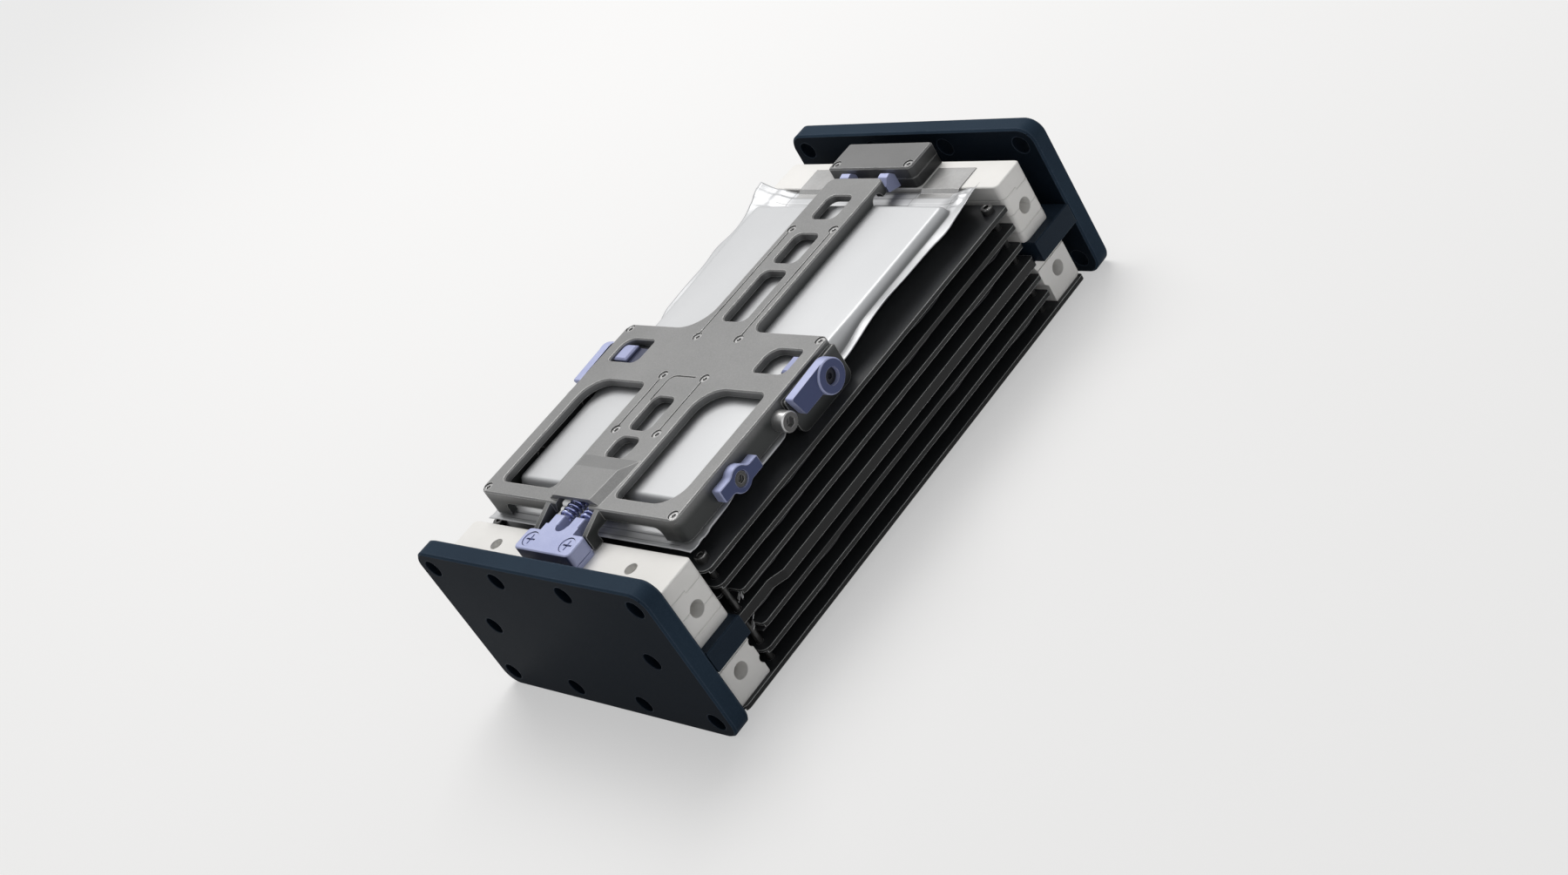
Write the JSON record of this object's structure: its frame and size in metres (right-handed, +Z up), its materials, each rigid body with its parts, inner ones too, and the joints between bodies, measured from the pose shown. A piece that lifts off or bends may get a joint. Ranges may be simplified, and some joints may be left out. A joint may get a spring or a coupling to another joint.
{
  "type": "lithium-ion pouch cell stack",
  "caption": "Stack of pouch cells on thin trays, held between end plates by a windowed clamp frame with springs and side latch levers.",
  "frame": {"origin": "centre of the footprint, on the surface that the end plates' lower edges stand on", "axes": "+Y from the front end plate (spring end) to the rear one (terminal end), +X across the stack towards the side the picture shows, +Z up out of the top cell"},
  "size_m": [0.15, 0.285, 0.0848],
  "materials": {
    "navy_plate": "dark navy satin anodised",
    "navy_bar": "dark navy satin anodised",
    "ivory_block": "ivory machined plastic",
    "black_tray": "satin black",
    "inner_laminate": "dark laminate",
    "laminate": "silver-white laminate",
    "tab_metal": "rolled satin metal",
    "frame_metal": "bead-blasted warm grey",
    "terminal_metal": "bead-blasted warm grey",
    "screw_steel": "dark steel",
    "stop_steel": "dark steel",
    "spring_wire": "lavender coated wire",
    "pad_plastic": "lavender plastic",
    "lavender_metal": "lavender satin anodised"
  },
  "bodies": {
    "stack": {"base_tray": "black_tray", "cell_tray_1": "black_tray", "cell_tray_2": "black_tray", "cell_tray_3": "black_tray", "cell_tray_4": "black_tray", "cell_tray_5": "black_tray", "cell_tray_6": "black_tray", "clamp_frame": "frame_metal", "clamp_pad_left": "pad_plastic", "clamp_pad_right": "pad_plastic", "clip_screws": "screw_steel", "column_bolts": "screw_steel", "end_plate_front": "navy_plate", "end_plate_rear": "navy_plate", "frame_screws": "screw_steel", "front_block_1": "ivory_block", "front_block_2": "ivory_block", "front_block_3": "ivory_block", "front_block_4": "ivory_block", "front_lower_block": "ivory_block", "front_spacer": "navy_bar", "hook_clips": "lavender_metal", "inner_cell_1": "inner_laminate", "inner_cell_2": "inner_laminate", "inner_cell_3": "inner_laminate", "inner_cell_4": "inner_laminate", "inner_cell_5": "inner_laminate", "inner_cell_6": "inner_laminate", "lever_pins": "screw_steel", "plate_screws": "screw_steel", "rear_block_1": "ivory_block", "rear_block_2": "ivory_block", "rear_block_3": "ivory_block", "rear_block_4": "ivory_block", "rear_lower_block": "ivory_block", "rear_spacer": "navy_bar", "spring_block": "lavender_metal", "spring_block_screws": "lavender_metal", "spring_left": "spring_wire", "spring_right": "spring_wire", "stack_bolts": "screw_steel", "stop_screws": "stop_steel", "tab_left": "tab_metal", "tab_right": "tab_metal", "terminal_base": "terminal_metal", "terminal_cover": "terminal_metal", "terminal_screws": "screw_steel", "top_cell": "laminate", "wing_clip_left": "lavender_metal", "wing_clip_right": "lavender_metal"},
    "lever_right": {"latch_lever_right": "lavender_metal"},
    "lever_left": {"latch_lever_left": "lavender_metal"}
  },
  "joints": [
    {"name": "lever_right_hinge", "type": "hinge", "parent": "stack", "child": "lever_right", "pos_m": [0.0679, -0.0148, 0.0734], "axis": [-1, 0, 0], "range_deg": [0, 95]},
    {"name": "lever_left_hinge", "type": "hinge", "parent": "stack", "child": "lever_left", "pos_m": [-0.0679, -0.0148, 0.0734], "axis": [-1, 0, 0], "range_deg": [0, 95]}
  ]
}
